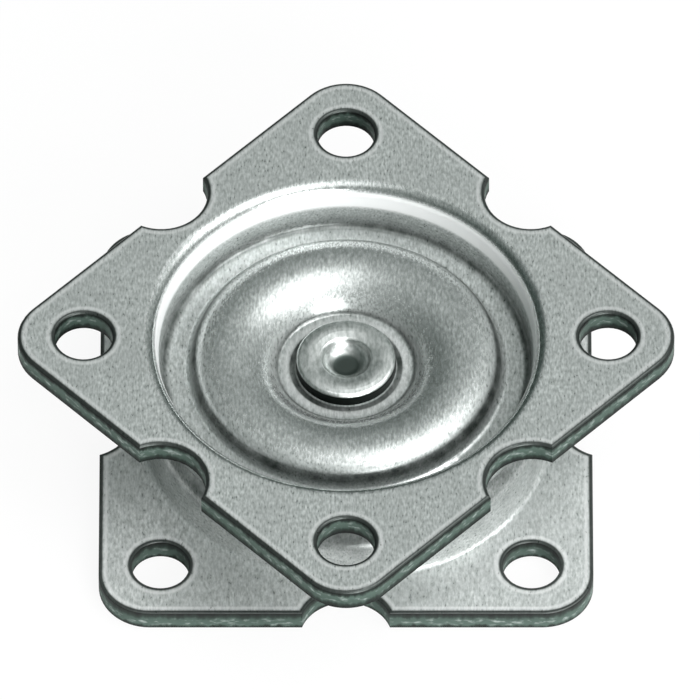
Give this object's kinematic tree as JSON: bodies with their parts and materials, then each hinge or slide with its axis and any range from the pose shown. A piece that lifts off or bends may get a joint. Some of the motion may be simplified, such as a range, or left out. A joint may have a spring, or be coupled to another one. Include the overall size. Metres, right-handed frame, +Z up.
{
  "type": "turntable bearing",
  "caption": "Flat swivel bearing: two notched square pressed steel plates, one turned diagonal to the other, turning on balls in a race round a centre rivet.",
  "frame": {"origin": "middle of the underside, on the turning axis, where the bottom plate's flange rests", "axes": "+Z up along the turning axis; X and Y along the bottom plate's sides; the top plate is turned 45 degrees, so its corners point along X and Y"},
  "size_m": [0.0798, 0.0798, 0.0194],
  "materials": {
    "zinc_plate": "zinc-plated pressed steel sheet, satin",
    "rivet_steel": "zinc-plated cold-headed steel, satin",
    "ball_steel": "hardened and polished steel"
  },
  "bodies": {
    "base": {"bottom_plate": "zinc_plate"},
    "top": {"top_plate": "zinc_plate", "centre_rivet": "rivet_steel"},
    "balls": {"ball_01": "ball_steel", "ball_02": "ball_steel", "ball_03": "ball_steel", "ball_04": "ball_steel", "ball_05": "ball_steel", "ball_06": "ball_steel", "ball_07": "ball_steel", "ball_08": "ball_steel", "ball_09": "ball_steel", "ball_10": "ball_steel", "ball_11": "ball_steel"}
  },
  "joints": [
    {"name": "swivel", "type": "hinge", "parent": "base", "child": "top", "pos_m": [0, 0, 0.0097], "axis": [0, 0, 1], "continuous": true},
    {"name": "ball_orbit", "type": "hinge", "parent": "base", "child": "balls", "pos_m": [0, 0, 0.0097], "axis": [0, 0, 1], "continuous": true}
  ],
  "couplings": [
    {"joint": "ball_orbit", "follows": "swivel", "ratio": 0.5}
  ]
}
